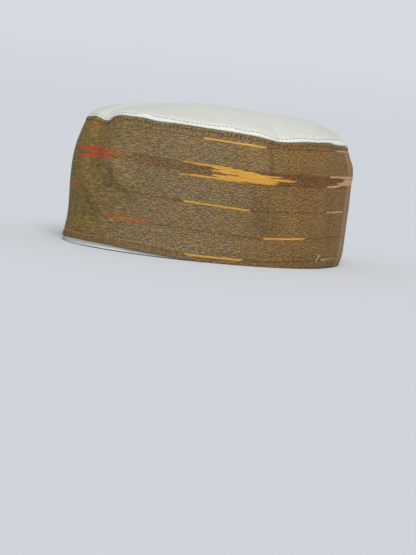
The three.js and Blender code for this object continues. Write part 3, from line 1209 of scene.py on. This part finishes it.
band_piece, band_surface, band_shares = band()
crown_piece, crown_surface, crown_distances = crown()
lining_piece, lining_surface, lining_shares, lining_wall = lining()

# Stitches

outer_shares = band_shares[: int(np.argmax(band_shares))]


def band_row(height):
    """The row of the band's net at a height on its outside."""
    return np.interp(height / BAND_HEIGHT, outer_shares, np.arange(len(outer_shares)))


def crown_row(arc):
    """The row of the crown's net where its edge stitching runs."""
    on_top = crown_distances >= 0
    return np.interp(crown_stitch_in(arc), crown_distances[on_top], np.nonzero(on_top)[0])


def lining_row(height):
    """The row of the lining's net at a height on its inside."""
    inner = lining_shares[lining_wall + 2 : 2 * lining_wall + 2]
    rows = np.arange(len(inner)) + lining_wall + 2
    return np.interp(height / BAND_HEIGHT, inner[::-1], rows[::-1])


def hem_level(arc):
    return band_row(hem_stitch_up(arc))


def level(row):
    """One row of a net for any arc."""
    return lambda arc: np.full(np.shape(arc), row)


def upright_stitches(surface, seed):
    """Short stitches that run down from the band's top edge, one to each pucker."""
    draw = np.random.default_rng(seed)
    step = np.linspace(0, 1, 7)
    paths = []
    for k in range(STITCHES_ROUND):
        arc = arcs[0] + (k + 0.5) * GIRTH / STITCHES_ROUND + draw.uniform(-0.25, 0.25)
        lean = float(0.9 * bell(arc - 115, 22)) + draw.uniform(-0.25, 0.25)
        top = BAND_HEIGHT - draw.uniform(1.0, 1.4)
        long = draw.uniform(1.7, 2.3)
        row = np.array([band_row(top - long * t) for t in step])
        out = -0.2 + 0.24 * np.sin(math.pi * step)
        paths.append(surface.at(row, arc + lean * (step - 0.5), out))
    return paths


dark_thread = thread("crown_thread", srgb(84, 75, 64), srgb(116, 104, 90))
brown_thread = thread("band_thread", srgb(48, 38, 31), srgb(70, 55, 43))
olive_thread = thread("band_top_thread", srgb(92, 78, 56), srgb(120, 102, 72))
beige_thread = thread("hem_thread", srgb(140, 126, 100), srgb(178, 164, 134))
pale_thread = thread("loose_end_thread", srgb(184, 174, 150), srgb(212, 204, 182))
white_thread = thread("lining_thread", srgb(214, 214, 204), srgb(232, 232, 224))

edge_row = stitch_row(crown_surface, crown_row, length=2.9, proud=0.1, sink=0.16, seed=41)
crown_stitches = tubes("crown_edge_stitches", edge_row, 0.19, dark_thread)

top_level = level(band_row(BAND_HEIGHT - TOP_STITCH_DOWN))
top_row = stitch_row(band_surface, top_level, length=1.9, proud=0.08, sink=0.22, seed=42, skew=0.3)
top_stitches = tubes("band_top_stitches", top_row, 0.2, olive_thread)
top_ticks = tubes("band_edge_stitches", upright_stitches(band_surface, seed=46), 0.31, brown_thread)

hem_row = stitch_row(band_surface, hem_level, length=2.1, proud=0.16, sink=0.2, seed=43, skew=-0.25)
pale_count = round((PALE_HEM_END - arcs[0]) / GIRTH * len(hem_row))
hem_stitches = tubes("band_hem_stitches", hem_row[:pale_count], 0.28, beige_thread)
side_hem_stitches = tubes("side_hem_stitches", hem_row[pale_count:], 0.2, olive_thread)

lining_level = level(lining_row(LINING_STITCH_UP))
inner_row = stitch_row(lining_surface, lining_level, length=2.5, proud=0.1, sink=0.18, seed=44)
lining_stitches = tubes("lining_hem_stitches", inner_row, 0.18, white_thread)

# The thread end that stands off the hem near the wearer's left ear: place along it, arc, height, stand-off
LOOSE_THREAD = [
    (0, 185.0, 9.6, 0.2),
    (1, 183.2, 8.7, 0.7),
    (2, 181.6, 7.6, 0.9),
    (3, 180.7, 6.3, 0.9),
    (4, 180.9, 5.0, 0.6),
    (5, 182.4, 3.9, 0.2),
]
along_end = np.linspace(0, LOOSE_THREAD[-1][0], 26)
end_arc, end_height, end_out = (curve_through(LOOSE_THREAD, column, along_end) for column in (1, 2, 3))
end_path = band_surface.at(band_row(end_height), end_arc, end_out)
thread_end = tubes("loose_thread", [end_path], 0.24, pale_thread)

# Each piece, the solid that it takes the place of and its material slot
PIECES = [
    (band_piece, "band", "ikat_cloth"),
    (crown_piece, "crown", "crown_cloth"),
    (lining_piece, "lining", "lining_cloth"),
    (crown_stitches, None, "crown_cloth"),
    (top_stitches, None, "ikat_cloth"),
    (top_ticks, None, "ikat_cloth"),
    (hem_stitches, None, "ikat_cloth"),
    (side_hem_stitches, None, "ikat_cloth"),
    (lining_stitches, None, "lining_cloth"),
    (thread_end, None, "ikat_cloth"),
]
for piece, node, slot in PIECES:
    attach(piece, "root")
    if node:
        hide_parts(node)

# The stage: a wide pale floor that runs out to the horizon, in metres

FLOOR_RADIUS = 40
FLOOR_SIDES = 64


def studio():
    angles = [2 * math.pi * k / FLOOR_SIDES for k in range(FLOOR_SIDES)]
    vertices = [(FLOOR_RADIUS * math.cos(a), FLOOR_RADIUS * math.sin(a), 0.0) for a in angles]
    mesh = bpy.data.meshes.new("studio_floor")
    mesh.from_pydata(vertices, [], [tuple(range(FLOOR_SIDES))])
    piece = finish_piece("studio_floor", mesh, floor_paper(srgb(227, 231, 235)))


studio()

# The camera, at the photo's angle: degrees, metres from the oval's middle, and the sensor in millimetres

CAMERA_AZIMUTH = 55
CAMERA_DISTANCE = 1.1
CAMERA_HEIGHT = 0.083
AIM_RIGHT = 0.00622
AIM_HEIGHT = -0.01746
FOCAL_PIXELS = 1599
FRAME_PIXELS = 555
SENSOR = 36
ROLL = 6.17


def camera():
    angle = math.radians(CAMERA_AZIMUTH)
    sine, cosine = math.sin(angle), math.cos(angle)
    centre = Vector(OVAL_MIDDLE) * MM
    eye = centre + Vector((CAMERA_DISTANCE * sine, -CAMERA_DISTANCE * cosine, CAMERA_HEIGHT))
    aim = centre + Vector((AIM_RIGHT * cosine, AIM_RIGHT * sine, AIM_HEIGHT))
    data = bpy.data.cameras.new("camera")
    data.sensor_width = SENSOR
    data.lens = FOCAL_PIXELS / FRAME_PIXELS * SENSOR
    data.clip_start = 0.05
    made = into_scene("camera", data)
    look = (aim - eye).to_track_quat("-Z", "Y").to_matrix()
    turned = look @ Matrix.Rotation(math.radians(ROLL), 3, "Z")
    made.matrix_world = Matrix.Translation(eye) @ turned.to_4x4()
    bpy.context.scene.camera = made


camera()

# Soft studio light

BACKDROP_TONES = [
    (0.0, srgb(207, 212, 218)),
    (0.07, srgb(215, 219, 225)),
    (0.16, srgb(213, 217, 223)),
    (0.5, srgb(156, 160, 166)),
]


def soft_sun(name, azimuth, elevation, width, power, colour):
    """Even light from one side, as wide as a large softbox close by."""
    a, e = math.radians(azimuth), math.radians(elevation)
    where = Vector((math.sin(a) * math.cos(e), -math.cos(a) * math.cos(e), math.sin(e)))
    data = bpy.data.lights.new(name, "SUN")
    data.angle = math.radians(width)
    data.energy = power
    data.color = colour
    turned = (-where).to_track_quat("-Z", "Y").to_matrix()
    into_scene(name, data).matrix_world = Matrix.Translation(where) @ turned.to_4x4()


soft_sun("key_light", azimuth=63, elevation=42, width=30, power=2.15, colour=(1.0, 0.985, 0.965))


def backdrop():
    """A pale surround, even all the way round: brightest just above the horizon and dimmer overhead."""
    n = Nodes(bpy.data.worlds.new("backdrop"), "Background")
    up = n.parts(n.place("Generated"))[2]
    n.link(n.shader.inputs["Color"], n.ramp(up, BACKDROP_TONES, "EASE"))
    bpy.context.scene.world = n.made


backdrop()
bpy.context.scene.view_settings.view_transform = "Standard"
